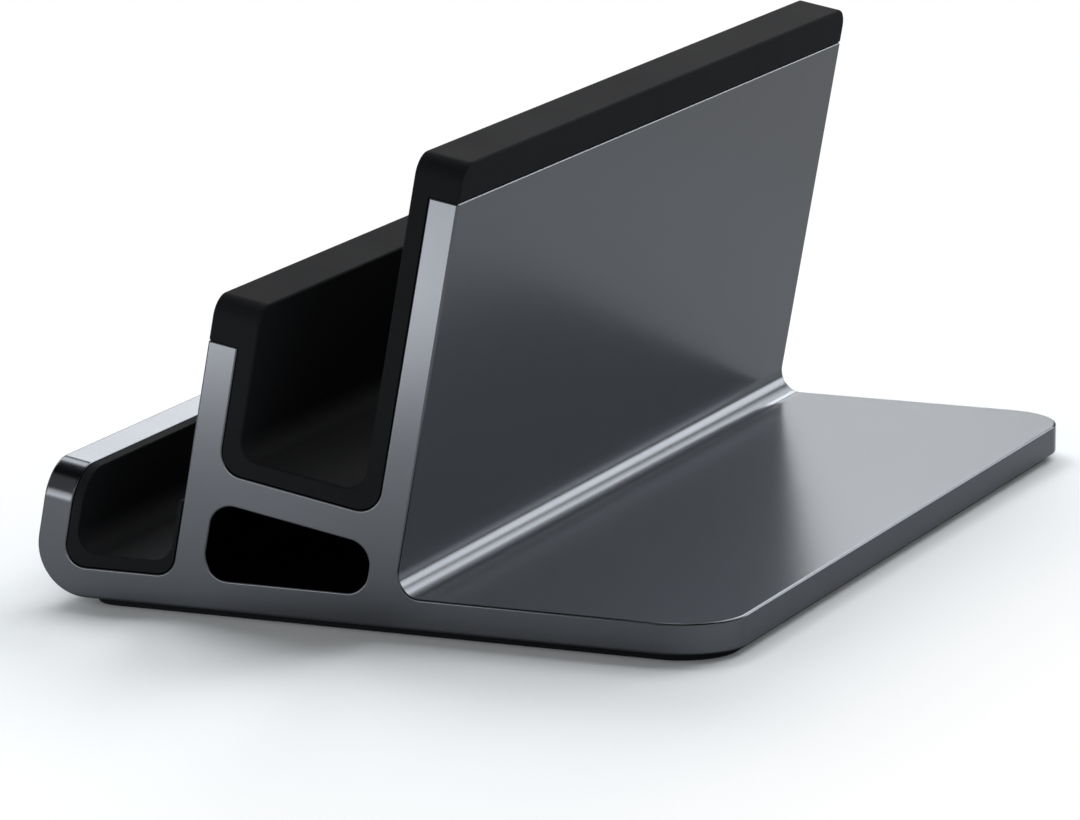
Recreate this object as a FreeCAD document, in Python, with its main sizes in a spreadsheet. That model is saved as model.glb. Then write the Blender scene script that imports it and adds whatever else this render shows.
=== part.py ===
"""Vertical laptop stand.

One aluminium extrusion carries everything: a broad flat base plate, a low lip and two walls that lean
back over the plate, so that two slots stay open between them. The narrow slot lies between the lip and the
middle wall, and the wide slot between the middle wall and the tall wall. A web joins the two walls above
the base and leaves a closed tunnel under the wide slot. Each slot is lined with a silicone moulding, and
the one in the wide slot folds over both wall tops as a cap. A silicone pad under the base grips the desk.
Thin strips of adhesive tape hold the silicone to the metal.

Frame: the origin is on the desk under the middle of the bounding box, +Y runs along the extrusion, +Z is
up and +X points from the lip to the base plate. Sections are drawn in the XZ plane from the sharp corner
where the lip's outer face would meet the underside.
"""
import FreeCAD, Part
import math
import os
import Sketcher

# Driving sizes, in millimetres and degrees
SIZES = {
    "stand_length": 150.0,
    "lean_angle": 10.0,
    "outer_wall": 4.4,
    "inner_wall": 4.5,
    "base_thickness": 4.4,
    "narrow_slot_width": 16.6,
    "narrow_slot_depth": 14.15,
    "wide_slot_width": 24.3,
    "middle_wall_depth": 17.95,
    "tall_wall_depth": 45.7,
    "tunnel_height": 6.85,
    "plate_length": 48.3,
    "lip_foot_radius": 7.2,
    "narrow_slot_radius": 2.9,
    "wide_slot_radius": 3.4,
    "tunnel_radius": 3.3,
    "plate_fillet_radius": 3.3,
    "plate_corner_radius": 9.7,
    "lip_corner_radius": 5.1,
    "edge_break": 0.25,
    "liner_clearance": 0.1,
    "tape_thickness": 0.1,
    "tape_margin": 2.0,
    "wide_liner_thickness": 2.55,
    "middle_cap_height": 6.45,
    "tall_cap_height": 5.5,
    "cap_corner_radius": 3.0,
    "liner_fillet_radius": 3.0,
    "liner_edge_radius": 0.4,
    "narrow_liner_floor": 1.9,
    "narrow_liner_leg": 1.4,
    "narrow_liner_skirt": 0.6,
    "skirt_depth": 9.0,
    "narrow_liner_edge_radius": 0.2,
    "pad_thickness": 1.0,
    "pad_inset": 1.5,
    "pad_corner_radius": 4.0,
}

# Expressions that several features share
LEAN = "(Sizes.lean_angle * 1 deg)"
TO_NARROW_SLOT = "Sizes.outer_wall"
TO_MIDDLE_WALL = f"({TO_NARROW_SLOT} + Sizes.narrow_slot_width)"
TO_WIDE_SLOT = f"({TO_MIDDLE_WALL} + Sizes.inner_wall)"
TO_TALL_WALL = f"({TO_WIDE_SLOT} + Sizes.wide_slot_width)"
TO_OUTSIDE = f"({TO_TALL_WALL} + Sizes.outer_wall)"
TUNNEL_TOP = f"((Sizes.base_thickness + Sizes.tunnel_height + {TO_TALL_WALL} * sin({LEAN})) / cos({LEAN}))"
WIDE_FLOOR = f"({TUNNEL_TOP} + Sizes.inner_wall)"
FLAT_START = f"(Sizes.lip_foot_radius * (1 + sin({LEAN})) / cos({LEAN}))"
PLATE_END = f"({TO_OUTSIDE} / cos({LEAN}) + Sizes.base_thickness * tan({LEAN}) + Sizes.plate_length)"
MIDDLE_X = f"(({FLAT_START} - Sizes.lip_foot_radius + {PLATE_END}) / 2)"

TOLERANCE = 1e-4
PROBE = 0.01
SHARP_ANGLE = math.radians(15)


class Lean:
    """Directions and offsets of the leaning walls in a section, from the sizes in the sheet."""

    def __init__(self, size):
        self.angle = math.radians(size("lean_angle"))
        self.across = FreeCAD.Vector(math.cos(self.angle), -math.sin(self.angle), 0)
        self.up = FreeCAD.Vector(math.sin(self.angle), math.cos(self.angle), 0)

    def on_wall(self, offset, height):
        """Point at a height above the underside on the wall face that lies offset from the lip's outer face."""
        x = offset / math.cos(self.angle) + height * math.tan(self.angle)
        return FreeCAD.Vector(x, height, 0)


def fill_sheet(doc):
    """Puts the driving sizes into a spreadsheet, one alias each, and returns a reader for them."""
    sheet = doc.addObject("Spreadsheet::Sheet", "Sizes")
    for row, (name, value) in enumerate(SIZES.items(), start=1):
        sheet.set(f"A{row}", name)
        sheet.set(f"B{row}", str(value))
        sheet.setAlias(f"B{row}", name)
    doc.recompute()
    return lambda name: float(sheet.get(name))


def new_body(doc, name, height="0"):
    """Body with its own label, moved so that the stand is centred, and raised by a height expression."""
    body = doc.addObject("PartDesign::Body", name)
    body.Label = name
    body.setExpression(".Placement.Base.x", f"-{MIDDLE_X} * 1 mm")
    body.setExpression(".Placement.Base.z", f"({height}) * 1 mm")
    return body


def new_sketch(body, name, role="XZ_Plane", tilted=False):
    """Sketch on one of the body's own planes, turned with the leaning walls if it is tilted."""
    sketch = body.newObject("Sketcher::SketchObject", name)
    plane = next(feature for feature in body.Origin.OriginFeatures if feature.Role == role)
    sketch.AttachmentSupport = [(plane, "")]
    sketch.MapMode = "FlatFace"
    if tilted:
        clockwise = FreeCAD.Vector(0, 0, -1)
        sketch.AttachmentOffset = FreeCAD.Placement(FreeCAD.Vector(), FreeCAD.Rotation(clockwise, 1))
        sketch.setExpression("AttachmentOffset.Rotation.Angle", LEAN)
    return sketch


def outline(sketch, corners):
    """Closed outline of straight lines through the corners. Returns the number of its first line."""
    first = sketch.GeometryCount
    ends = corners[1:] + corners[:1]
    sketch.addGeometry([Part.LineSegment(start, end) for start, end in zip(corners, ends)], False)
    count = len(corners)
    for number in range(count):
        here = first + number
        following = first + (number + 1) % count
        sketch.addConstraint(Sketcher.Constraint("Coincident", here, 2, following, 1))
    return first


def rectangle(sketch, left, right, bottom, top):
    """Upright rectangle as the sketch's first four lines, drawn where expressions put its sides."""
    x_left, x_right, y_bottom, y_top = (
        float(sketch.evalExpression(side)) for side in (left, right, bottom, top))
    corners = ((x_left, y_bottom), (x_right, y_bottom), (x_right, y_top), (x_left, y_top))
    outline(sketch, [FreeCAD.Vector(x, y, 0) for x, y in corners])
    relate(sketch, "Horizontal", [0, 2])
    relate(sketch, "Vertical", [1, 3])


def relate(sketch, kind, lines, to=None):
    """Same relation, such as Horizontal or Parallel, for each of the lines."""
    for line in lines:
        refs = (line,) if to is None else (line, to)
        sketch.addConstraint(Sketcher.Constraint(kind, *refs))


def dimension(sketch, name, expression, kind, *refs):
    """Named dimension whose value follows an expression over the sheet."""
    value = sketch.evalExpression(expression)
    if kind == "Angle":
        value = math.radians(value.Value)
    number = sketch.addConstraint(Sketcher.Constraint(kind, *refs, float(value)))
    sketch.renameConstraint(number, name)
    sketch.setExpression(f"Constraints.{name}", expression)


def distance_x(sketch, name, expression, start, end):
    """Dimension along the sketch's first axis between two line starts, or from the origin if start is None."""
    corner = (-1, 1) if start is None else (start, 1)
    dimension(sketch, name, expression, "DistanceX", *corner, end, 1)


def distance_y(sketch, name, expression, start, end):
    """Dimension along the sketch's second axis between two line starts, or from the origin."""
    corner = (-1, 1) if start is None else (start, 1)
    dimension(sketch, name, expression, "DistanceY", *corner, end, 1)


def pad(body, sketch, name, length, symmetric=True):
    """Solid of a sketch along its normal."""
    feature = body.newObject("PartDesign::Pad", name)
    feature.Profile = sketch
    if symmetric:
        feature.SideType = "Symmetric"
    feature.setExpression("Length", length)
    sketch.Visibility = False
    body.Document.recompute()
    return feature


def dress(body, kind, name, base, edges, expression):
    """Fillet or chamfer on the numbered edges of the base feature."""
    feature = body.newObject(f"PartDesign::{kind}", name)
    feature.Base = (base, [f"Edge{number}" for number in edges])
    feature.setExpression("Radius" if kind == "Fillet" else "Size", expression)
    body.Document.recompute()
    return feature


def section_point(point):
    """Place of a model point in the XZ section."""
    return FreeCAD.Vector(point.x, point.z, 0)


def long_edges(shape, corners):
    """Numbers of the edges along Y that start and end at one of the section's corners."""
    found = []
    for number, edge in enumerate(shape.Edges, start=1):
        ends = [section_point(vertex.Point) for vertex in edge.Vertexes]
        if len(ends) != 2 or ends[0].distanceToPoint(ends[1]) > TOLERANCE:
            continue
        if any(ends[0].distanceToPoint(corner) < TOLERANCE for corner in corners):
            found.append(number)
    return found


def end_edges(shape, first, second):
    """Numbers of the edges at the stand's two ends that join two of the section's corners."""
    found = []
    for number, edge in enumerate(shape.Edges, start=1):
        ends = [section_point(vertex.Point) for vertex in edge.Vertexes]
        if len(ends) != 2:
            continue
        forward = ends[0].distanceToPoint(first) + ends[1].distanceToPoint(second)
        backward = ends[1].distanceToPoint(first) + ends[0].distanceToPoint(second)
        if min(forward, backward) < 2 * TOLERANCE:
            found.append(number)
    return found


def upright_edges(shape, x):
    """Numbers of the vertical edges at a distance x from the section's origin."""
    found = []
    for number, edge in enumerate(shape.Edges, start=1):
        points = [vertex.Point for vertex in edge.Vertexes]
        if len(points) != 2 or any(abs(point.x - x) > TOLERANCE for point in points):
            continue
        if abs(points[0].y - points[1].y) < TOLERANCE and abs(points[0].z - points[1].z) > TOLERANCE:
            found.append(number)
    return found


def sharp_edges(shape):
    """Numbers of the edges at which two faces meet at an outward corner."""
    found = []
    for number, edge in enumerate(shape.Edges, start=1):
        faces = shape.ancestorsOfType(edge, Part.Face)
        if len(faces) != 2:
            continue
        middle = edge.valueAt((edge.FirstParameter + edge.LastParameter) / 2)
        normals = [face.normalAt(*face.Surface.parameter(middle)) for face in faces]
        if normals[0].getAngle(normals[1]) < SHARP_ANGLE:
            continue
        beside = middle + (normals[0] - normals[1]).normalize() * PROBE
        if not shape.isInside(beside, TOLERANCE, False):
            found.append(number)
    return found


def body_corners(size, lean):
    """Sharp corners of the extrusion's section, in order round the outside, and those of its tunnel."""
    wall = size("outer_wall")
    inner = size("inner_wall")
    base = size("base_thickness")
    to_middle = wall + size("narrow_slot_width")
    to_wide = to_middle + inner
    to_tall = to_wide + size("wide_slot_width")

    narrow_left = lean.on_wall(wall, base)
    lip_inner_top = narrow_left + lean.up * size("narrow_slot_depth")
    lip_outer_top = lip_inner_top - lean.across * wall
    narrow_right = lean.on_wall(to_middle, base)

    tunnel_top_right = lean.on_wall(to_tall, base + size("tunnel_height"))
    tunnel_top_left = tunnel_top_right - lean.across * size("wide_slot_width")
    wide_right = tunnel_top_right + lean.up * inner
    wide_left = tunnel_top_left + lean.up * inner
    middle_inner_top = wide_left + lean.up * size("middle_wall_depth")
    middle_outer_top = middle_inner_top - lean.across * inner
    tall_inner_top = wide_right + lean.up * size("tall_wall_depth")
    tall_outer_top = tall_inner_top + lean.across * wall

    plate_start = lean.on_wall(to_tall + wall, base)
    plate_end = plate_start + FreeCAD.Vector(size("plate_length"), 0, 0)
    plate_foot = FreeCAD.Vector(plate_end.x, 0, 0)

    outside = [
        FreeCAD.Vector(0, 0, 0), lip_outer_top, lip_inner_top,
        narrow_left, narrow_right,
        middle_outer_top, middle_inner_top,
        wide_left, wide_right,
        tall_inner_top, tall_outer_top,
        plate_start, plate_end, plate_foot,
    ]
    tunnel = [lean.on_wall(to_wide, base), lean.on_wall(to_tall, base), tunnel_top_right, tunnel_top_left]
    return outside, tunnel


def body_sketch(body, outside, tunnel):
    """Section of the extrusion with its sharp corners, held by the sheet's sizes."""
    sketch = new_sketch(body, "body_section")
    outline(sketch, outside)
    (lip_outer, lip_top, lip_inner, narrow_floor, middle_outer, middle_top, middle_inner,
     wide_floor, tall_inner, tall_top, tall_outer, plate_top, plate_edge, underside) = range(len(outside))
    tunnel_floor = outline(sketch, tunnel)
    tunnel_right = tunnel_floor + 1
    tunnel_top = tunnel_floor + 2

    sketch.addConstraint(Sketcher.Constraint("Coincident", lip_outer, 1, -1, 1))
    relate(sketch, "Horizontal", [narrow_floor, plate_top, underside, tunnel_floor])
    relate(sketch, "Vertical", [plate_edge])
    relate(sketch, "Parallel", [lip_inner, middle_outer, middle_inner, tall_inner, tall_outer], lip_outer)
    relate(sketch, "Perpendicular", [lip_top, middle_top, wide_floor, tall_top, tunnel_top], lip_outer)
    dimension(sketch, "wall_rise", "90 deg - " + LEAN, "Angle", lip_outer)
    for line, wall in ((tunnel_floor, middle_inner), (tunnel_top + 1, middle_inner),
                       (tunnel_right, tall_inner), (tunnel_top, tall_inner)):
        sketch.addConstraint(Sketcher.Constraint("PointOnObject", line, 1, wall))

    for name, expression, line in (
            ("lip_wall", "Sizes.outer_wall", lip_top),
            ("lip_depth", "Sizes.narrow_slot_depth", lip_inner),
            ("middle_wall", "Sizes.inner_wall", middle_top),
            ("middle_depth", "Sizes.middle_wall_depth", middle_inner),
            ("wide_slot", "Sizes.wide_slot_width", wide_floor),
            ("tall_depth", "Sizes.tall_wall_depth", tall_inner),
            ("tall_wall", "Sizes.outer_wall", tall_top),
            ("plate_length", "Sizes.plate_length", plate_top)):
        dimension(sketch, name, expression, "Distance", line)
    dimension(sketch, "narrow_slot", "Sizes.narrow_slot_width", "Distance", middle_outer, 1, lip_inner)
    dimension(sketch, "web", "Sizes.inner_wall", "Distance", tunnel_top, 1, wide_floor)
    distance_y(sketch, "narrow_floor", "Sizes.base_thickness", None, narrow_floor)
    distance_y(sketch, "plate_top", "Sizes.base_thickness", None, plate_top)
    distance_y(sketch, "tunnel_floor", "Sizes.base_thickness", None, tunnel_floor)
    distance_y(sketch, "tunnel_height", "Sizes.tunnel_height", tunnel_right, tunnel_top)
    return sketch


def make_extruded_body(doc, size, lean):
    """The aluminium extrusion, cut to length, with rounded corners and broken edges."""
    body = new_body(doc, "extruded_body", "Sizes.pad_thickness + Sizes.tape_thickness")
    outside, tunnel = body_corners(size, lean)
    sketch = body_sketch(body, outside, tunnel)
    feature = pad(body, sketch, "extrusion", "Sizes.stand_length")

    rounds = (
        ("tunnel_corners", tunnel, "Sizes.tunnel_radius"),
        ("wide_slot_corners", outside[7:9], "Sizes.wide_slot_radius"),
        ("narrow_slot_corners", outside[3:5], "Sizes.narrow_slot_radius"),
        ("lip_foot", outside[0:1], "Sizes.lip_foot_radius"),
        ("plate_fillet", outside[11:12], "Sizes.plate_fillet_radius"),
    )
    for name, corners, radius in rounds:
        edges = long_edges(feature.Shape, corners)
        feature = dress(body, "Fillet", name, feature, edges, radius)

    edges = end_edges(feature.Shape, outside[1], outside[2])
    feature = dress(body, "Fillet", "lip_corners", feature, edges, "Sizes.lip_corner_radius")
    edges = upright_edges(feature.Shape, outside[12].x)
    feature = dress(body, "Fillet", "plate_corners", feature, edges, "Sizes.plate_corner_radius")
    dress(body, "Chamfer", "broken_edges", feature, sharp_edges(feature.Shape), "Sizes.edge_break")
    return body


def wide_liner_corners(size, lean):
    """Sharp corners of the wide slot's liner, across and up the leaning walls, in order round it."""
    gap = size("liner_clearance")
    thick = size("wide_liner_thickness")
    middle_outer = size("outer_wall") + size("narrow_slot_width")
    left = middle_outer + size("inner_wall") + gap
    right = left + size("wide_slot_width") - 2 * gap
    tall_outer = right + gap + size("outer_wall")
    tunnel_top = lean.on_wall(right + gap, size("base_thickness") + size("tunnel_height")).dot(lean.up)
    wide_floor = tunnel_top + size("inner_wall")
    underside = wide_floor + size("tape_thickness")
    middle_top = wide_floor + size("middle_wall_depth")
    tall_top = wide_floor + size("tall_wall_depth")
    middle_cap = middle_top + size("middle_cap_height")
    tall_cap = tall_top + size("tall_cap_height")
    places = [
        (middle_outer, middle_top), (middle_outer, middle_cap),
        (left + thick, middle_cap), (left + thick, underside + thick),
        (right - thick, underside + thick), (right - thick, tall_cap),
        (tall_outer, tall_cap), (tall_outer, tall_top),
        (right, tall_top), (right, underside),
        (left, underside), (left, middle_top),
    ]
    return [FreeCAD.Vector(across, up, 0) for across, up in places]


def make_wide_slot_liner(doc, size, lean):
    """The silicone moulding that lines the wide slot and caps the middle wall and the tall wall."""
    body = new_body(doc, "wide_slot_liner", "Sizes.pad_thickness + Sizes.tape_thickness")
    corners = wide_liner_corners(size, lean)
    sketch = new_sketch(body, "wide_liner_section", tilted=True)
    outline(sketch, corners)
    relate(sketch, "Vertical", range(0, len(corners), 2))
    relate(sketch, "Horizontal", range(1, len(corners), 2))
    (cap_foot, cap_side, cap_top, left_leg, floor, right_leg,
     tall_cap_top, tall_cap_side, tall_cap_foot, right_side, underside, left_side) = range(len(corners))
    thickness = "Sizes.wide_liner_thickness"
    distance_x(sketch, "to_middle_wall", TO_MIDDLE_WALL, None, cap_foot)
    distance_x(sketch, "over_middle_wall", "Sizes.inner_wall + Sizes.liner_clearance", cap_foot, left_side)
    distance_x(sketch, "left_thickness", thickness, underside, left_leg)
    distance_x(sketch, "in_slot", "Sizes.wide_slot_width - 2 * Sizes.liner_clearance", underside, right_side)
    distance_x(sketch, "right_thickness", thickness, right_leg, right_side)
    distance_x(sketch, "over_tall_wall", "Sizes.outer_wall + Sizes.liner_clearance",
               tall_cap_foot, tall_cap_side)
    distance_y(sketch, "to_underside", WIDE_FLOOR + " + Sizes.tape_thickness", None, underside)
    distance_y(sketch, "floor_thickness", thickness, underside, floor)
    distance_y(sketch, "left_depth", "Sizes.middle_wall_depth - Sizes.tape_thickness", underside, left_side)
    distance_y(sketch, "middle_cap", "Sizes.middle_cap_height", cap_foot, cap_side)
    distance_y(sketch, "right_depth", "Sizes.tall_wall_depth - Sizes.tape_thickness",
               right_side, tall_cap_foot)
    distance_y(sketch, "tall_cap", "Sizes.tall_cap_height", tall_cap_side, tall_cap_top)
    feature = pad(body, sketch, "moulding", "Sizes.stand_length")

    placed = [lean.across * corner.x + lean.up * corner.y for corner in corners]
    edges = long_edges(feature.Shape, placed[9:11])
    feature = dress(body, "Fillet", "outer_corners", feature, edges,
                    "Sizes.wide_slot_radius - Sizes.liner_clearance")
    edges = long_edges(feature.Shape, placed[3:5])
    feature = dress(body, "Fillet", "inner_corners", feature, edges, "Sizes.liner_fillet_radius")
    edges = end_edges(feature.Shape, placed[1], placed[2]) + end_edges(feature.Shape, placed[5], placed[6])
    feature = dress(body, "Fillet", "cap_corners", feature, edges, "Sizes.cap_corner_radius")
    dress(body, "Fillet", "soft_edges", feature, sharp_edges(feature.Shape), "Sizes.liner_edge_radius")
    return body


def narrow_liner_corners(size, lean):
    """Sharp corners of the narrow slot's liner, in order round it from its lower left."""
    gap = size("liner_clearance")
    low = size("base_thickness") + size("tape_thickness")
    high = low + size("narrow_liner_floor")
    left = size("outer_wall") + gap
    right = size("outer_wall") + size("narrow_slot_width") - gap
    leg = left + size("narrow_liner_leg")
    skirt = right - size("narrow_liner_skirt")
    lip_inner_foot = lean.on_wall(size("outer_wall"), size("base_thickness"))
    lip_top = lip_inner_foot.dot(lean.up) + size("narrow_slot_depth")
    skirt_foot = lean.on_wall(skirt, high)
    skirt_top = skirt_foot + lean.up * size("skirt_depth")
    return [
        lean.on_wall(left, low),
        lean.across * left + lean.up * lip_top,
        lean.across * leg + lean.up * lip_top,
        lean.on_wall(leg, high),
        skirt_foot,
        skirt_top,
        skirt_top + lean.across * size("narrow_liner_skirt"),
        lean.on_wall(right, low),
    ]


def make_narrow_slot_liner(doc, size, lean):
    """The silicone moulding in the narrow slot: a leg up the lip, a floor and a thin skirt up the wall."""
    body = new_body(doc, "narrow_slot_liner", "Sizes.pad_thickness + Sizes.tape_thickness")
    corners = narrow_liner_corners(size, lean)
    sketch = new_sketch(body, "narrow_liner_section")
    outline(sketch, corners)
    (lip_side, leg_top, leg_inner, floor, skirt_inner, skirt_top, wall_side, underside) = range(len(corners))
    relate(sketch, "Horizontal", [floor, underside])
    relate(sketch, "Parallel", [leg_inner, skirt_inner, wall_side], lip_side)
    relate(sketch, "Perpendicular", [leg_top, skirt_top], lip_side)
    dimension(sketch, "wall_rise", "90 deg - " + LEAN, "Angle", lip_side)
    low = "(Sizes.base_thickness + Sizes.tape_thickness)"
    left = f"({TO_NARROW_SLOT} + Sizes.liner_clearance)"
    distance_x(sketch, "to_leg", f"{left} / cos({LEAN}) + {low} * tan({LEAN})", None, lip_side)
    distance_y(sketch, "to_underside", low, None, lip_side)
    distance_y(sketch, "floor_thickness", "Sizes.narrow_liner_floor", lip_side, floor)
    leg_length = ("Sizes.narrow_slot_depth - (Sizes.tape_thickness"
                  f" + Sizes.liner_clearance * sin({LEAN})) / cos({LEAN})")
    dimension(sketch, "leg_length", leg_length, "Distance", lip_side)
    dimension(sketch, "leg_thickness", "Sizes.narrow_liner_leg", "Distance", leg_top)
    dimension(sketch, "skirt_depth", "Sizes.skirt_depth", "Distance", skirt_inner)
    dimension(sketch, "skirt_thickness", "Sizes.narrow_liner_skirt", "Distance", skirt_top)
    dimension(sketch, "in_slot", "Sizes.narrow_slot_width - 2 * Sizes.liner_clearance",
              "Distance", underside, 1, lip_side)
    feature = pad(body, sketch, "moulding", "Sizes.stand_length")

    edges = long_edges(feature.Shape, [corners[0], corners[7]])
    feature = dress(body, "Fillet", "outer_corners", feature, edges,
                    "Sizes.narrow_slot_radius - Sizes.liner_clearance")
    edges = long_edges(feature.Shape, corners[3:5])
    feature = dress(body, "Fillet", "inner_corners", feature, edges, "Sizes.liner_fillet_radius")
    edges = end_edges(feature.Shape, corners[1], corners[2])
    feature = dress(body, "Fillet", "lip_corners", feature, edges, "Sizes.lip_corner_radius")
    dress(body, "Fillet", "soft_edges", feature, sharp_edges(feature.Shape),
          "Sizes.narrow_liner_edge_radius")
    return body


def make_strip(doc, name, tilted, start, level, width):
    """Strip of adhesive tape along a slot's floor, from expressions for its left edge, level and width."""
    body = new_body(doc, name, "Sizes.pad_thickness + Sizes.tape_thickness")
    sketch = new_sketch(body, f"{name}_section", tilted=tilted)
    rectangle(sketch, start, f"{start} + {width}", level, f"{level} + Sizes.tape_thickness")
    distance_x(sketch, "left_edge", start, None, 0)
    distance_x(sketch, "strip_width", width, 0, 1)
    distance_y(sketch, "level", level, None, 0)
    distance_y(sketch, "thickness", "Sizes.tape_thickness", 1, 2)
    pad(body, sketch, "strip", "Sizes.stand_length - 2 * Sizes.tape_margin")
    return body


def make_liner_tapes(doc):
    """The two strips of tape that hold the liners down on the slot floors."""
    wide_edge = "(Sizes.wide_slot_radius + Sizes.tape_margin)"
    make_strip(doc, "wide_liner_tape", True, f"{TO_WIDE_SLOT} + {wide_edge}", WIDE_FLOOR,
               f"Sizes.wide_slot_width - 2 * {wide_edge}")
    narrow_edge = "(Sizes.narrow_slot_radius + Sizes.tape_margin)"
    narrow_foot = f"(Sizes.outer_wall / cos({LEAN}) + Sizes.base_thickness * tan({LEAN}))"
    make_strip(doc, "narrow_liner_tape", False, f"{narrow_foot} + {narrow_edge}", "Sizes.base_thickness",
               f"Sizes.narrow_slot_width / cos({LEAN}) - 2 * {narrow_edge}")


def make_sheet(doc, name, thickness, inset, height):
    """Flat sheet under the base: a rectangle whose corners follow the plate, inset from its edge."""
    body = new_body(doc, name, height)
    sketch = new_sketch(body, f"{name}_outline", role="XY_Plane")
    left = f"{FLAT_START} + {inset} - Sizes.pad_inset"
    right = f"{PLATE_END} - {inset}"
    half_length = f"(Sizes.stand_length / 2 - {inset})"
    rectangle(sketch, left, right, f"-{half_length}", half_length)
    distance_x(sketch, "left_edge", left, None, 0)
    distance_x(sketch, "right_edge", right, None, 1)
    dimension(sketch, "near_edge", half_length, "DistanceY", 0, 1, -1, 1)
    dimension(sketch, "far_edge", half_length, "DistanceY", -1, 1, 3, 1)
    feature = pad(body, sketch, "sheet", thickness, symmetric=False)

    sides = [vertex.X for vertex in feature.Shape.Vertexes]
    edges = upright_edges(feature.Shape, max(sides))
    feature = dress(body, "Fillet", "plate_side_corners", feature, edges,
                    f"Sizes.plate_corner_radius - {inset}")
    edges = upright_edges(feature.Shape, min(sides))
    dress(body, "Fillet", "lip_side_corners", feature, edges, "Sizes.pad_corner_radius")
    return body


def make_base_pad(doc):
    """The silicone pad that the stand rests on, and the sheet of tape that holds it to the metal."""
    make_sheet(doc, "base_pad", "Sizes.pad_thickness", "Sizes.pad_inset", "0")
    make_sheet(doc, "base_pad_tape", "Sizes.tape_thickness",
               "(Sizes.pad_inset + Sizes.tape_margin)", "Sizes.pad_thickness")


def check(doc, bodies):
    """Stops if a feature failed or a body isn't one valid solid."""
    for item in doc.Objects:
        if {"Invalid", "Error"} & set(item.State):
            raise RuntimeError(f"{item.Label} is {item.State}")
    for body in bodies:
        shape = body.Shape
        if shape.isNull() or not shape.isValid() or len(shape.Solids) != 1:
            raise RuntimeError(f"{body.Label} isn't one valid solid")


def main():
    doc = FreeCAD.newDocument("laptop_stand")
    size = fill_sheet(doc)
    lean = Lean(size)
    make_extruded_body(doc, size, lean)
    make_wide_slot_liner(doc, size, lean)
    make_narrow_slot_liner(doc, size, lean)
    make_liner_tapes(doc)
    make_base_pad(doc)
    doc.recompute()

    bodies = [item for item in doc.Objects if item.TypeId == "PartDesign::Body"]
    check(doc, bodies)
    os.makedirs("parts", exist_ok=True)
    for body in bodies:
        shape = body.Shape
        box = shape.BoundBox
        shape.exportStep(f"parts/{body.Label}.step")
        print(f"{body.Label}: {shape.Volume:.1f} mm3, {len(shape.Faces)} faces,"
              f" x {box.XMin:.2f} to {box.XMax:.2f}, z {box.ZMin:.2f} to {box.ZMax:.2f}")


main()
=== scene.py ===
# %% [markdown]
# # A vertical laptop stand
# The stand holds closed laptops on edge. One aluminium extrusion makes the base plate, the lip and the
# two leaning walls, and black silicone mouldings line the two slots between them. The engineering model
# already exists, so this file dresses it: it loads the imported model, rebuilds each piece that shows as a
# smooth surface in exactly the same place, gives every piece its real finish, and lights it like a
# product picture. Everything is in metres, with X across the slots, Y along the extrusion and Z up from
# the desk.

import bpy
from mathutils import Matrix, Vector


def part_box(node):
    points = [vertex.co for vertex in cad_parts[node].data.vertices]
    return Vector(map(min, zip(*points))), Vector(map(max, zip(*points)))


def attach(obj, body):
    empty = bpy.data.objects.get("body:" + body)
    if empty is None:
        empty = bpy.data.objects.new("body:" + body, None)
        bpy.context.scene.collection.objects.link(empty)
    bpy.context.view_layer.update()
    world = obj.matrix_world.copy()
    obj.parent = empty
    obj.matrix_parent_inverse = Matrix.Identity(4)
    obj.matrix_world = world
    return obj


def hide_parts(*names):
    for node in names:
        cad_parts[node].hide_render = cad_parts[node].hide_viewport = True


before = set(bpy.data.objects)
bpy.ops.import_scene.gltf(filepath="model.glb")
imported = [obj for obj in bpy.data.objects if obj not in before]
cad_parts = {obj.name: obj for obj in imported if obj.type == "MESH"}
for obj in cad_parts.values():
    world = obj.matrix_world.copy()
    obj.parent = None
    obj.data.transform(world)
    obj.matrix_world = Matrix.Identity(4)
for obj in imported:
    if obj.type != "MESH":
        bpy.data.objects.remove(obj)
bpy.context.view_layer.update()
print("pieces in the model:", sorted(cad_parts))

# %% [markdown]
# ## Sizes
# An extrusion is described by its section, so its sizes are few: wall thicknesses, slot widths and radii.
# The walls lean by ten degrees, and two directions say that once: "across" the slots and "up" the walls.
# The place of the section and the stand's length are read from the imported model, so that nothing can
# drift away from it.

# %% Name the sizes of the section
import math

import bpy
import numpy as np
from mathutils import Vector
from mathutils.geometry import tessellate_polygon

mm = 0.001
lean = math.radians(10)
outer_wall = 4.4 * mm
inner_wall = 4.5 * mm
base_thickness = 4.4 * mm
narrow_slot_width = 16.6 * mm
narrow_slot_depth = 14.15 * mm
wide_slot_width = 24.3 * mm
middle_wall_depth = 17.95 * mm
tall_wall_depth = 45.7 * mm
tunnel_height = 6.85 * mm
plate_length = 48.3 * mm

across = np.array([math.cos(lean), -math.sin(lean)])
up = np.array([math.sin(lean), math.cos(lean)])
to_middle_wall = outer_wall + narrow_slot_width
to_wide_slot = to_middle_wall + inner_wall
to_tall_wall = to_wide_slot + wide_slot_width
to_outside = to_tall_wall + outer_wall


def on_wall(offset, height):
    """Point of the section on a leaning face: the offset is square to the face and the height upright.

    Measured level, the offset is divided by the cosine of the lean, and with height the face moves on by
    the height times the tangent of the lean.
    """
    return np.array([offset / math.cos(lean) + height * math.tan(lean), height])


body_low, body_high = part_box("extruded_body")
stand_length = body_high.y - body_low.y
plate_start = on_wall(to_outside, base_thickness)
plate_end = plate_start + [plate_length, 0]
section_place = np.array([body_high.x - plate_end[0], body_low.z])
print(f"length {stand_length / mm:.1f} mm, section starts at x {section_place[0] / mm:.2f} mm")

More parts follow.
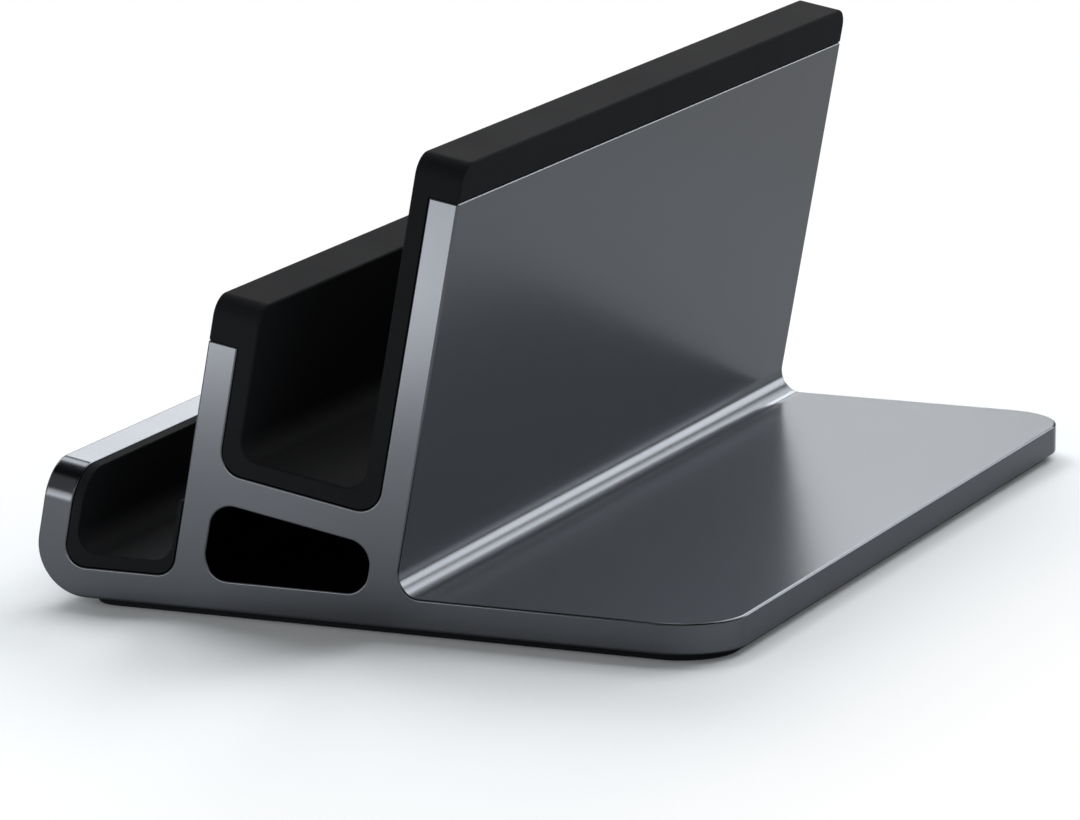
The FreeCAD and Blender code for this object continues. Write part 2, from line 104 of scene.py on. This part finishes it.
# %% [markdown]
# ## Outlines with arcs
# Every corner of the extrusion has a radius, because a die can't cut sharp corners and a broken edge
# feels better in the hand. The outline could be drawn sharp and rounded by a Bevel modifier, but then one
# width would have to suit corners from 0.3 to 7 mm. Here each corner has its own arc, and the arc also
# gives the exact outward direction at each of its points, which later makes the shading of a fillet
# perfectly even.

# %% Round the corners of an outline
arc_steps = 16


def rounded(corners, radii):
    """Closed outline through corners given anticlockwise, with an arc of its own radius at each.

    The arc's centre lies one radius from both lines of the corner, so it is the corner moved against the
    sum of the two outward directions. A point of the arc is the centre plus the radius times a direction
    that turns evenly from the first line's outward direction to the second's. At an inward corner both
    signs change.
    """
    corners = np.asarray(corners, float)
    radii = np.asarray(radii, float)[:, None]
    along = corners - np.roll(corners, 1, axis=0)
    along /= np.linalg.norm(along, axis=1, keepdims=True)
    first = np.stack([along[:, 1], -along[:, 0]], axis=1)
    second = np.roll(first, -1, axis=0)
    cosine = (first * second).sum(axis=1, keepdims=True)
    sine = (first[:, 0] * second[:, 1] - first[:, 1] * second[:, 0])[:, None]
    side = np.sign(sine)
    centres = corners - side * radii * (first + second) / (1 + cosine)
    share = np.linspace(0, 1, arc_steps + 1)
    angle = np.arctan2(first[:, 1], first[:, 0])[:, None] + np.arctan2(sine, cosine) * share
    outward = np.stack([np.cos(angle), np.sin(angle)], axis=2)
    points = centres[:, None] + (side * radii)[:, None] * outward
    return points.reshape(-1, 2), outward.reshape(-1, 2)


square = rounded([(-1, -1), (1, -1), (1, 1), (-1, 1)], [1, 1, 1, 1])
print("a square rounded to a circle keeps its radius:", np.ptp(np.linalg.norm(square[0], axis=1)) < 1e-9)

# %% [markdown]
# ## Carrying an outline along a path
# An extrusion is its outline carried along a straight path, and so is a moulded liner cut to length. Two
# things happen near each end. Some corners of the outline draw back along a large arc, such as the lip's
# top and the plate's two free corners. And the whole rim is broken by a small arc, from the side faces to
# the flat end. Both are arcs of a circle, so both are worked out at once for all points of a row: the
# surface is a core line plus the small edge radius times the outward direction, and near the end the core
# moves along the large arc while the direction turns towards the end.

# %% Carry an outline along a straight path
def carried(outline, length, edge, rounds=()):
    """Rows of points and outward directions of an outline carried along a path of that length.

    The core is the outline moved in by the edge radius, which is one value or one for each point. Each
    entry of rounds is (which points, direction, radius): those points draw back from their direction by
    the radius minus its cosine part, and run on by its sine part, as the turn goes from zero to a
    quarter. Then, in the last rows, the outward directions turn evenly into the path's own direction,
    and one that is already nearer to it waits for the others. The third coordinate is along the path,
    and the first half mirrors the second.
    """
    points, outward = outline
    edge = np.broadcast_to(edge, len(points))
    quarter = np.linspace(0, math.pi / 2, arc_steps + 1)[:, None]
    still = np.full((arc_steps, 1), math.pi / 2)
    turn = np.concatenate([quarter, still])
    left_to_path = np.concatenate([still, quarter[::-1]])
    radius = np.full(len(points), max([size for _, _, size in rounds] + [2 * edge.max()]))
    toward = np.zeros_like(points)
    for chosen, direction, size in rounds:
        radius[chosen] = size
        toward[chosen] = direction
    facing = (outward * toward).sum(axis=1)

    drawn_back = (radius - edge) * (1 - np.cos(turn))
    core = (points - edge[:, None] * outward)[None] - drawn_back[..., None] * toward
    core_along = length / 2 - radius + (radius - edge) * np.sin(turn)
    flat = outward[None] + (facing * (np.cos(turn) - 1))[..., None] * toward
    rise = facing * np.sin(turn)
    angle = np.minimum(np.arccos(np.clip(rise, -1, 1)), left_to_path)
    spread = np.maximum(np.linalg.norm(flat, axis=2), 1e-12)
    flat = flat * (np.sin(angle) / spread)[..., None]
    rise = np.cos(angle)

    half = np.concatenate([core + edge[:, None] * flat, (core_along + edge * rise)[..., None]], axis=2)
    half_outward = np.concatenate([flat, rise[..., None]], axis=2)
    mirror = np.array([1, 1, -1])
    rows = np.concatenate([half[::-1] * mirror, half])
    rows_outward = np.concatenate([half_outward[::-1] * mirror, half_outward])
    return rows, rows_outward


tube = carried(square, 4, 0.1)
print("rows and points of a test tube:", tube[0].shape[:2])

# %% [markdown]
# ## From rows to a closed mesh
# The rows become quads, and each end becomes a flat cap, with a hole where a tunnel comes out. Corners of
# the outline that shrink to one point at the end leave doubled points, so equal points are joined first.
# The sign of the volume tells whether the faces point outward. Blender could guess the shading
# directions, but on a cap made of long thin triangles its guess bends the light near the rim, so the
# exact directions from the arcs are handed over with the mesh.

# %% Make a closed mesh from carried outlines
join_within = 0.001 * mm


def cap(loops, points):
    """Triangles that fill the flat end between an outer loop and its holes, given as point numbers.

    Clockwise triangles are turned round, and those without area are left out.
    """
    loops = [loop[loop != np.roll(loop, 1)] for loop in loops]
    flat = points * [1, 1, 0]
    triangles = tessellate_polygon([list(map(Vector, flat[loop])) for loop in loops])
    numbers = np.concatenate(loops)[np.asarray(triangles)]
    a, b, c = (points[numbers[:, corner], :2] for corner in range(3))
    turn = (b[:, 0] - a[:, 0]) * (c[:, 1] - a[:, 1]) - (b[:, 1] - a[:, 1]) * (c[:, 0] - a[:, 0])
    numbers[turn < 0] = numbers[turn < 0][:, ::-1]
    return numbers[turn != 0]


def closed_piece(name, skins, to_model):
    """Mesh object of carried outlines, the later ones being holes, closed by a cap at each end.

    A quad joins points k and k + 1 of rows j and j + 1. The volume is the sum over triangles of the
    triple product of their corners, divided by six.
    """
    sizes = [rows.shape[0] * rows.shape[1] for rows, _ in skins]
    starts = np.cumsum([0] + sizes[:-1])
    all_points = np.concatenate([rows.reshape(-1, 3) for rows, _ in skins])
    all_outward = np.concatenate([outward.reshape(-1, 3) for _, outward in skins])
    places = np.round(all_points / join_within)
    _, kept, joined = np.unique(places, axis=0, return_index=True, return_inverse=True)
    joined = joined.reshape(-1)
    points, outward = all_points[kept], all_outward[kept]

    triangles = []
    low_loops, high_loops = [], []
    for start, (rows, _) in zip(starts, skins):
        count, width = rows.shape[:2]
        grid = joined[start:start + count * width].reshape(count, width)
        here, there = grid[:-1], grid[1:]
        here_next, there_next = np.roll(here, -1, axis=1), np.roll(there, -1, axis=1)
        triangles.append(np.stack([here, here_next, there_next], axis=2).reshape(-1, 3))
        triangles.append(np.stack([here, there_next, there], axis=2).reshape(-1, 3))
        low_loops.append(grid[0])
        high_loops.append(grid[-1])
    triangles.append(cap(low_loops, points)[:, ::-1])
    triangles.append(cap(high_loops, points))
    triangles = np.concatenate(triangles)
    different = (triangles != np.roll(triangles, 1, axis=1)).all(axis=1)
    triangles = triangles[different]

    placed, turned = to_model(points), to_model(outward, direction=True)
    a, b, c = (placed[triangles[:, corner]] for corner in range(3))
    volume = (np.cross(a, b) * c).sum() / 6
    if volume < 0:
        triangles = triangles[:, ::-1]
    mesh = bpy.data.meshes.new(name)
    mesh.from_pydata(placed.tolist(), [], triangles.tolist())
    mesh.shade_smooth()
    mesh.normals_split_custom_set_from_vertices(turned.tolist())
    piece = bpy.data.objects.new(name, mesh)
    bpy.context.scene.collection.objects.link(piece)
    print(f"{name}: {len(triangles)} triangles, {abs(volume) / mm**3:.0f} cubic mm")
    return piece


def along_y(rows, direction=False):
    """Section coordinates to the model: the section's two axes are X and Z, and the path is Y."""
    model = rows[:, [0, 2, 1]]
    if not direction:
        model = model + [section_place[0], 0, section_place[1]]
    return model


# %% [markdown]
# ## The extruded body
# The real body is one length of extruded aluminium, sawn square, with its lip and plate corners milled
# round, then bead blasted and anodised. Its outline goes once round the section from the lip's foot. The
# tunnel under the wide slot is a hole, so its outline runs the other way round. It lightens the part
# where the two walls meet the base.

# %% Build the extruded body
edge_break = 0.32 * mm
plate_edge_break = 0.38 * mm
lip_foot_radius = 7.2 * mm
narrow_slot_radius = 2.9 * mm
wide_slot_radius = 3.4 * mm
tunnel_radius = 3.3 * mm
plate_fillet_radius = 3.3 * mm
plate_corner_radius = 9.7 * mm
lip_corner_radius = 5.1 * mm

narrow_left = on_wall(outer_wall, base_thickness)
narrow_right = on_wall(to_middle_wall, base_thickness)
lip_top = narrow_left + narrow_slot_depth * up
tunnel_high_right = on_wall(to_tall_wall, base_thickness + tunnel_height)
tunnel_high_left = tunnel_high_right - wide_slot_width * across
wide_right = tunnel_high_right + inner_wall * up
wide_left = tunnel_high_left + inner_wall * up
middle_top = wide_left + middle_wall_depth * up
tall_top = wide_right + tall_wall_depth * up

body_corners = [
    ((0, 0), lip_foot_radius),
    (plate_end * [1, 0], edge_break),
    (plate_end, plate_edge_break),
    (plate_start, plate_fillet_radius),
    (tall_top + outer_wall * across, edge_break),
    (tall_top, edge_break),
    (wide_right, wide_slot_radius),
    (wide_left, wide_slot_radius),
    (middle_top, edge_break),
    (middle_top - inner_wall * across, edge_break),
    (narrow_right, narrow_slot_radius),
    (narrow_left, narrow_slot_radius),
    (lip_top, edge_break),
    (lip_top - outer_wall * across, edge_break),
]
tunnel_corners = [
    on_wall(to_wide_slot, base_thickness),
    tunnel_high_left,
    tunnel_high_right,
    on_wall(to_tall_wall, base_thickness),
]


def corner_points(first, last):
    """Numbers of the outline points that belong to the arcs of corners first to last."""
    return slice(first * (arc_steps + 1), (last + 1) * (arc_steps + 1))


body_outline = rounded(*zip(*body_corners))
tunnel_outline = rounded(tunnel_corners, [tunnel_radius] * len(tunnel_corners))
body_rounds = [
    (corner_points(1, 2), np.array([1, 0]), plate_corner_radius),
    (corner_points(12, 13), up, lip_corner_radius),
]
stand_body = closed_piece("stand_body", [
    carried(body_outline, stand_length, edge_break, body_rounds),
    carried(tunnel_outline, stand_length, edge_break),
], along_y)

# %% [markdown]
# ## The wide slot's liner
# A laptop must never rub on metal, so the wide slot is lined with one silicone moulding. It folds over
# both walls as thick caps, whose top corners are rounded at both ends. Its legs and floor are about
# 2.5 mm thick. The moulding's free edges are soft, wider than the metal's, which is what tells rubber
# from metal at a glance. Where it lies against the metal its edge is almost sharp, so that hardly a gap
# shows.

# %% Build the wide slot's liner
liner_clearance = 0.1 * mm
tape_thickness = 0.1 * mm
liner_thickness = 2.55 * mm
middle_cap_height = 6.45 * mm
tall_cap_height = 5.5 * mm
cap_corner_radius = 3.0 * mm
liner_fillet_radius = 3.0 * mm
liner_edge = 0.4 * mm
seated_edge = 0.1 * mm

liner_left = to_wide_slot + liner_clearance
liner_right = to_tall_wall - liner_clearance
wide_floor_height = wide_right @ up
liner_foot = wide_floor_height + tape_thickness
middle_top_height = middle_top @ up
tall_top_height = tall_top @ up
wide_liner_corners = [
    ((liner_left, liner_foot), wide_slot_radius - liner_clearance),
    ((liner_right, liner_foot), wide_slot_radius - liner_clearance),
    ((liner_right, tall_top_height), seated_edge),
    ((to_outside, tall_top_height), liner_edge),
    ((to_outside, tall_top_height + tall_cap_height), liner_edge),
    ((liner_right - liner_thickness, tall_top_height + tall_cap_height), liner_edge),
    ((liner_right - liner_thickness, liner_foot + liner_thickness), liner_fillet_radius),
    ((liner_left + liner_thickness, liner_foot + liner_thickness), liner_fillet_radius),
    ((liner_left + liner_thickness, middle_top_height + middle_cap_height), liner_edge),
    ((to_middle_wall, middle_top_height + middle_cap_height), liner_edge),
    ((to_middle_wall, middle_top_height), liner_edge),
    ((liner_left, middle_top_height), seated_edge),
]


def leaned(corners):
    """Corners given by how far across and how far up they lie, turned into corners of the section.

    A place is the first number times the direction across plus the second times the direction up.
    """
    return [(place[0] * across + place[1] * up, radius) for place, radius in corners]


wide_outline = rounded(*zip(*leaned(wide_liner_corners)))
wide_rounds = [
    (corner_points(4, 5), up, cap_corner_radius),
    (corner_points(8, 9), up, cap_corner_radius),
]
wide_edges = np.full(len(wide_outline[0]), liner_edge)
wide_edges[corner_points(0, 2)] = seated_edge
wide_edges[corner_points(11, 11)] = seated_edge
wide_edges[corner_points(3, 3)] = np.linspace(seated_edge, liner_edge, arc_steps + 1)
wide_edges[corner_points(10, 10)] = np.linspace(liner_edge, seated_edge, arc_steps + 1)
wide_liner = closed_piece("wide_liner", [
    carried(wide_outline, stand_length, wide_edges, wide_rounds),
], along_y)

# %% [markdown]
# ## The narrow slot's liner
# The narrow slot takes a tablet or a thin laptop. Its liner is a thinner moulding: a leg that ends flush
# with the lip's top and follows its rounded corners, a floor, and a thin skirt against the middle wall.

# %% Build the narrow slot's liner
narrow_liner_floor = 1.9 * mm
narrow_liner_leg = 1.4 * mm
narrow_liner_skirt = 0.6 * mm
skirt_depth = 9.0 * mm
narrow_liner_edge = 0.2 * mm

narrow_foot = base_thickness + tape_thickness
narrow_floor = narrow_foot + narrow_liner_floor
leg_outer = outer_wall + liner_clearance
leg_inner = leg_outer + narrow_liner_leg
skirt_outer = to_middle_wall - liner_clearance
skirt_inner = skirt_outer - narrow_liner_skirt
skirt_top = on_wall(skirt_inner, narrow_floor) + skirt_depth * up
lip_top_height = lip_top @ up
narrow_radius = narrow_slot_radius - liner_clearance
narrow_liner_corners = [
    (on_wall(leg_outer, narrow_foot), narrow_radius),
    (on_wall(skirt_outer, narrow_foot), narrow_radius),
    (skirt_top + narrow_liner_skirt * across, narrow_liner_edge),
    (skirt_top, narrow_liner_edge),
    (on_wall(skirt_inner, narrow_floor), liner_fillet_radius),
    (on_wall(leg_inner, narrow_floor), liner_fillet_radius),
    (leg_inner * across + lip_top_height * up, narrow_liner_edge),
    (leg_outer * across + lip_top_height * up, narrow_liner_edge),
]
narrow_outline = rounded(*zip(*narrow_liner_corners))
narrow_edges = np.full(len(narrow_outline[0]), narrow_liner_edge)
narrow_edges[corner_points(0, 1)] = seated_edge
narrow_edges[corner_points(2, 2)] = np.linspace(seated_edge, narrow_liner_edge, arc_steps + 1)
narrow_edges[corner_points(7, 7)] = np.linspace(narrow_liner_edge, seated_edge, arc_steps + 1)
narrow_liner = closed_piece("narrow_liner", [
    carried(narrow_outline, stand_length, narrow_edges, [(corner_points(6, 7), up, lip_corner_radius)]),
], along_y)

# %% [markdown]
# ## The grip pad
# A silicone sheet is stuck under the base, a little smaller than the plate, so that the stand neither
# slides nor scratches. Only a dark gap shows from the side. It is a flat outline again, this time carried
# upward.

# %% Build the grip pad
pad_low, pad_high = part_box("base_pad")
pad_edge = 0.2 * mm
pad_inset = 1.5 * mm
pad_plate_corner = plate_corner_radius - pad_inset
pad_lip_corner = 4.0 * mm
pad_outline = rounded(
    [(pad_low.x, pad_low.y), (pad_high.x, pad_low.y), (pad_high.x, pad_high.y), (pad_low.x, pad_high.y)],
    [pad_lip_corner, pad_plate_corner, pad_plate_corner, pad_lip_corner])
pad_middle = (pad_low.z + pad_high.z) / 2


def along_z(rows, direction=False):
    """Outline coordinates to the model: the outline lies flat in X and Y, and the path is Z."""
    return rows if direction else rows + [0, 0, pad_middle]


grip_pad = closed_piece("grip_pad", [carried(pad_outline, pad_high.z - pad_low.z, pad_edge)], along_z)

# %% [markdown]
# ## A helper for materials
# A material is a small network of nodes. One helper adds a node, sets its values and makes its links, so
# that each finish below reads as a short recipe. Colours are written as the familiar web codes, which are
# sRGB, while Blender works with linear light, so one function converts them.

# %% Helpers for materials
def linear(web_colour):
    """Linear red, green, blue and alpha of a web colour: each sRGB share is undone by its power curve."""
    shares = np.array([int(web_colour[start:start + 2], 16) for start in (1, 3, 5)]) / 255
    light = np.where(shares <= 0.04045, shares / 12.92, ((shares + 0.055) / 1.055) ** 2.4)
    return (*light, 1.0)


def add(tree, kind, settings=None, **inputs):
    """Adds a node. Settings are its own properties, and each input is a value or another node's output.

    An input is named by its label with underscores for spaces, or by an underscore and its number.
    """
    made = tree.nodes.new(kind)
    for name, value in (settings or {}).items():
        setattr(made, name, value)
    for name, value in inputs.items():
        socket = made.inputs[int(name[1:])] if name[1:].isdigit() else made.inputs[name.replace("_", " ")]
        if isinstance(value, bpy.types.NodeSocket):
            tree.links.new(value, socket)
        else:
            socket.default_value = value
    return made


def new_material(name):
    """Empty material and its node tree, with all its nodes cleared."""
    material = bpy.data.materials.new(name)
    material.use_nodes = True
    material.node_tree.nodes.clear()
    return material, material.node_tree


print("mid grey in linear light:", round(float(linear("#808080")[0]), 3))

# %% [markdown]
# ## Bead-blasted, anodised aluminium
# Blasting with fine glass beads leaves shallow overlapping dimples about 0.1 mm across. They scatter the
# reflection, so the metal mirrors its surroundings only as soft bands of light and dark. Anodising then
# grows a hard oxide layer on top, dyed here to a dark grey with a touch of blue. Light crosses the dye
# twice, and a glancing ray crosses more of it, so the metal doesn't turn into a mirror at glancing angles
# as bare aluminium does. The specular tint says that: it lowers the reflection towards the grazing angle,
# the red a little more than the blue. The dimples are a fine noise in the bump, and the blasting and the
# dye are never quite even, so the roughness drifts slowly from place to place.

# %% Make the aluminium
def bead_blasted_anodised_aluminium():
    material, tree = new_material("bead_blasted_anodised_aluminium")
    place = add(tree, "ShaderNodeTexCoord").outputs["Object"]
    # drawn coarser than the real 0.1 mm, because finer dimples wouldn't show
    bead_dimple = 0.16 * mm
    dimples = add(tree, "ShaderNodeTexNoise", Vector=place, Scale=1 / bead_dimple, Detail=1.0)
    dye_patch = 18 * mm
    patches = add(tree, "ShaderNodeTexNoise", Vector=place, Scale=1 / dye_patch, Detail=2.0)
    roughness = add(tree, "ShaderNodeMapRange", Value=patches.outputs["Fac"],
                    To_Min=0.20, To_Max=0.24)
    bump = add(tree, "ShaderNodeBump", Height=dimples.outputs["Fac"], Strength=0.12,
               Distance=0.02 * mm)
    shader = add(tree, "ShaderNodeBsdfPrincipled", Base_Color=linear("#525458"), Metallic=1.0,
                 Specular_Tint=(0.593, 0.6, 0.607, 1), Roughness=roughness.outputs["Result"],
                 Normal=bump.outputs["Normal"])
    add(tree, "ShaderNodeOutputMaterial", Surface=shader.outputs["BSDF"])
    return material


aluminium = bead_blasted_anodised_aluminium()
print("made", aluminium.name)

# %% [markdown]
# ## Moulded silicone rubber
# The liners and the pad are moulded from black silicone. The tool's matt texture takes nearly all the
# shine, so the pieces show a deep, even black with a faint light on the edges. That texture is a fine
# grain in the bump. The specular level is far below a smooth surface's, because so fine a texture traps
# the light that it reflects. Handling polishes silicone a little, in patches about as large as a finger
# tip.

# %% Make the silicone
def moulded_silicone_rubber():
    material, tree = new_material("moulded_silicone_rubber")
    place = add(tree, "ShaderNodeTexCoord").outputs["Object"]
    # drawn coarser than a real tool's matt texture, because a finer grain wouldn't show
    tool_grain = 0.25 * mm
    grain = add(tree, "ShaderNodeTexNoise", Vector=place, Scale=1 / tool_grain, Detail=2.0)
    bump = add(tree, "ShaderNodeBump", Height=grain.outputs["Fac"], Strength=0.25, Distance=0.02 * mm)
    handled_patch = 12 * mm
    patches = add(tree, "ShaderNodeTexNoise", Vector=place, Scale=1 / handled_patch, Detail=2.0)
    roughness = add(tree, "ShaderNodeMapRange", Value=patches.outputs["Fac"],
                    To_Min=0.70, To_Max=0.80)
    silicone_ior = 1.41
    shader = add(tree, "ShaderNodeBsdfPrincipled", Base_Color=linear("#1B1C1E"), IOR=silicone_ior,
                 Specular_IOR_Level=0.025, Roughness=roughness.outputs["Result"],
                 Normal=bump.outputs["Normal"])
    add(tree, "ShaderNodeOutputMaterial", Surface=shader.outputs["BSDF"])
    return material


silicone = moulded_silicone_rubber()
print("made", silicone.name)

# %% [markdown]
# ## Adhesive tape
# Thin double-sided tape holds each silicone piece down. It is hidden between the two, and only a gap at
# the end of a slot might ever show its cream-coloured edge.

# %% Make the tape
def double_sided_tissue_tape():
    material, tree = new_material("double_sided_tissue_tape")
    place = add(tree, "ShaderNodeTexCoord").outputs["Object"]
    # drawn coarser than real fibres, because finer ones wouldn't show
    tissue_fibre = 0.5 * mm
    fibres = add(tree, "ShaderNodeTexNoise", Vector=place, Scale=1 / tissue_fibre, Detail=2.0)
    # inputs 6 and 7 and output 2 are the mix node's colours
    colour = add(tree, "ShaderNodeMix", {"data_type": "RGBA"}, Factor=fibres.outputs["Fac"],
                 _6=linear("#C9C5B8"), _7=linear("#DAD7CC"))
    shader = add(tree, "ShaderNodeBsdfPrincipled", Base_Color=colour.outputs[2], Roughness=0.6)
    add(tree, "ShaderNodeOutputMaterial", Surface=shader.outputs["BSDF"])
    return material


tape = double_sided_tissue_tape()
print("made", tape.name)

# %% [markdown]
# ## Dress the pieces
# Each new surface stands for one piece of the engineering model, rides on its body and takes its finish.
# The three tapes keep the engineering model's own meshes and only get a finish.

# %% Dress the pieces
for piece, part, finish, slot in (
        (stand_body, "extruded_body", aluminium, "anodised_aluminium"),
        (wide_liner, "wide_slot_liner", silicone, "silicone_rubber"),
        (narrow_liner, "narrow_slot_liner", silicone, "silicone_rubber"),
        (grip_pad, "base_pad", silicone, "silicone_rubber")):
    piece.data.materials.append(finish)
    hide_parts(part)
    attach(piece, "root")
    part_low, part_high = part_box(part)
    places = np.empty((len(piece.data.vertices), 3), np.float32)
    piece.data.vertices.foreach_get("co", places.ravel())
    gap = max(abs(places.min(axis=0) - part_low).max(), abs(places.max(axis=0) - part_high).max())
    print(f"{piece.name} matches {part} to {gap / mm:.3f} mm")

for part in ("wide_liner_tape", "narrow_liner_tape", "base_pad_tape"):
    tape_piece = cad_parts[part]
    tape_piece.data.materials.clear()
    tape_piece.data.materials.append(tape)

# %% [markdown]
# ## The studio
# A product picture of dark satin metal is mostly a picture of what the metal mirrors. The set is a white
# floor in a dim room, so that the metal stays dark between the reflections of the lamps. Seamless paper
# in a studio is burnt out to pure white by lamps of its own, but not near the object, where its shadow
# has to stay, faintly blue as the paper is. Here a painted glow of plain white light takes the paper's
# place, for rays that see it directly, in a mirror or through glass. The glow's share grows with the
# distance from the stand's outline, from nothing at 20 mm to all at 130 mm. A distance to the side counts
# three times, and one to the front or the back a little less than once, so the painted glow covers the
# lamps' shadow at the sides and leaves a painted shadow edge that reaches mostly forward.

# %% Build the studio
def studio_floor():
    material, tree = new_material("white_paper_and_painted_glow")
    place = add(tree, "ShaderNodeTexCoord").outputs["Object"]
    mirrored = add(tree, "ShaderNodeVectorMath", {"operation": "ABSOLUTE"}, _0=place)
    beyond = add(tree, "ShaderNodeVectorMath", {"operation": "SUBTRACT"}, _0=mirrored.outputs["Vector"],
                 _1=(body_high.x, body_high.y, 0))
    outside = add(tree, "ShaderNodeVectorMath", {"operation": "MAXIMUM"}, _0=beyond.outputs["Vector"])
    # painted light: the floor glows plain white for camera, mirror and glass rays, and the side weight
    # makes that glow paint over the lamps' shadow beside the stand sooner than in front
    side_weight, front_weight = 3.0, 0.8
    weighed = add(tree, "ShaderNodeVectorMath", {"operation": "MULTIPLY"}, _0=outside.outputs["Vector"],
                  _1=(side_weight, front_weight, 1.0))
    distance = add(tree, "ShaderNodeVectorMath", {"operation": "LENGTH"}, _0=weighed.outputs["Vector"])
    shadow_kept, all_white = 20 * mm, 130 * mm
    painted_glow_share = add(tree, "ShaderNodeMapRange", Value=distance.outputs["Value"],
                    From_Min=shadow_kept, From_Max=all_white)
    path = add(tree, "ShaderNodeLightPath")
    direct = add(tree, "ShaderNodeMath", {"operation": "MAXIMUM"},
                 _0=path.outputs["Is Camera Ray"], _1=path.outputs["Is Glossy Ray"])
    seen = add(tree, "ShaderNodeMath", {"operation": "MAXIMUM"},
               _0=direct.outputs["Value"], _1=path.outputs["Is Transmission Ray"])
    share = add(tree, "ShaderNodeMath", {"operation": "MULTIPLY"},
                _0=seen.outputs["Value"], _1=painted_glow_share.outputs["Result"])
    paper = add(tree, "ShaderNodeBsdfDiffuse", Color=linear("#F5F9FC"))
    glow = add(tree, "ShaderNodeEmission", Color=(1, 1, 1, 1), Strength=1.0)
    white = add(tree, "ShaderNodeMixShader", _0=share.outputs["Value"], _1=paper.outputs["BSDF"],
                _2=glow.outputs["Emission"])
    add(tree, "ShaderNodeOutputMaterial", Surface=white.outputs["Shader"])
    reach = 4.0
    mesh = bpy.data.meshes.new("floor")
    mesh.from_pydata([(-reach, -reach, 0), (reach, -reach, 0), (reach, reach, 0), (-reach, reach, 0)], [],
                     [(0, 1, 2, 3)])
    mesh.materials.append(material)
    floor = bpy.data.objects.new("floor", mesh)
    bpy.context.scene.collection.objects.link(floor)
    return floor


studio_floor()

world = bpy.data.worlds.new("studio")
bpy.context.scene.world = world
world.use_nodes = True
world.node_tree.nodes.clear()
background = add(world.node_tree, "ShaderNodeBackground", Color=(1, 1, 1, 1), Strength=0.02)
add(world.node_tree, "ShaderNodeOutputWorld", Surface=background.outputs["Background"])
print("floor and a dim room around it")

# %% [markdown]
# ## The lamps
# Each lamp is a soft box, a bright rectangle that faces the stand. It is described the way the stand sees
# it, by the part of the surroundings that it fills, and its power follows from how bright its face is. A
# large metal face mirrors only a small part of the room. The far half of the plate, the tall wall and the
# two lines along the fillet mirror the boxes low behind the stand, with a dark strip between the lower
# and the upper ones. The lip's top mirrors those on the left. The boxes high behind light the floor and
# throw the soft shadow forward. The end faces mirror what is low in front on the left, so two strips
# stand close to them there, and their light falls off towards the floor. Dimmer boxes stand all round for
# the other sides.

# %% Set up the lamps
stand_middle = Vector((0, 0, 0.03))
studio_radius = 2.5


def soft_box(name, azimuth, elevation, brightness, distance=studio_radius, seen_from=stand_middle):
    """Rectangular lamp that fills a range of azimuth and elevation, in degrees, as seen from a point.

    Azimuth turns from +Y towards +X. The width is twice the distance times the tangent of half the range,
    less the narrowing with elevation. A face of even brightness has a power of four times brightness
    times area.
    """
    turn, rise = math.radians(sum(azimuth) / 2), math.radians(sum(elevation) / 2)
    half_turn, half_rise = (math.radians((high - low) / 2) for low, high in (azimuth, elevation))
    toward_lamp = Vector((math.sin(turn) * math.cos(rise), math.cos(turn) * math.cos(rise),
                          math.sin(rise)))
    light = bpy.data.lights.new(name, "AREA")
    light.shape = "RECTANGLE"
    light.size = 2 * distance * math.tan(half_turn) * math.cos(rise)
    light.size_y = 2 * distance * math.tan(half_rise)
    light.energy = 4 * brightness * light.size * light.size_y
    lamp = bpy.data.objects.new(name, light)
    bpy.context.scene.collection.objects.link(lamp)
    lamp.location = seen_from + distance * toward_lamp
    lamp.rotation_mode = "QUATERNION"
    lamp.rotation_quaternion = toward_lamp.to_track_quat("Z", "Y")
    lamp.visible_camera = False
    return lamp


soft_box("back_right_low", (14, 31), (3, 16.5), 6.0)
soft_box("back_right_high", (-3, 28), (21, 36), 5.4)
soft_box("back_far_right", (32, 44), (2, 30), 0.6)
soft_box("back_middle", (-13, -4), (18, 36), 9.0)
soft_box("back_left_low", (-26, -14), (3, 15.5), 1.6)
soft_box("back_left_high", (-26.5, -15), (16, 27), 6.1)
soft_box("high_back_left", (-70, -20), (36, 60), 4.6)
soft_box("high_back_right", (-10, 45), (36, 60), 2.8)
soft_box("top_back", (-20, 20), (66, 84), 0.3)
soft_box("left", (-80, -40), (6, 34), 1.8)
soft_box("far_left", (-120, -82), (2, 30), 1.0)
soft_box("right", (45, 90), (2, 28), 0.4)
soft_box("front_right", (92, 140), (2, 30), 0.7)
soft_box("front", (140, 186), (4, 30), 0.7)
soft_box("front_left", (-172, -122), (22, 58), 0.3)
near_end = Vector((-0.02, -0.075, 0.016))
strip_distance = 0.16
soft_box("end_strip_low", (187, 223), (-5, 5), 4.1, strip_distance, near_end)
soft_box("end_strip_high", (187, 223), (5, 13), 2.9, strip_distance, near_end)
print("lamps:", len(bpy.data.lights))

# %% [markdown]
# ## The camera
# The picture was taken with a long lens from slightly right of the end face and slightly above, which
# keeps the leaning walls nearly parallel. The camera's place is worked out from two angles and a distance
# to a point inside the stand.

# %% Set up the camera
camera_azimuth = math.radians(22.478)
camera_elevation = math.radians(12.031)
camera_distance = 1.059
looked_at = Vector((-0.00622, 0, 0.0163))

away = Vector((math.sin(camera_azimuth) * math.cos(camera_elevation),
               -math.cos(camera_azimuth) * math.cos(camera_elevation), math.sin(camera_elevation)))
camera = bpy.data.objects.new("camera", bpy.data.cameras.new("camera"))
bpy.context.scene.collection.objects.link(camera)
camera.location = looked_at + camera_distance * away
camera.rotation_mode = "QUATERNION"
camera.rotation_quaternion = (-away).to_track_quat("-Z", "Y")
camera.data.lens = 240.19
camera.data.sensor_width = 36.0
camera.data.clip_start = 0.1
camera.data.clip_end = 50.0
bpy.context.scene.camera = camera
bpy.context.scene.view_settings.view_transform = "Standard"
print(f"camera {camera.data.lens} mm, {camera_distance} m away")
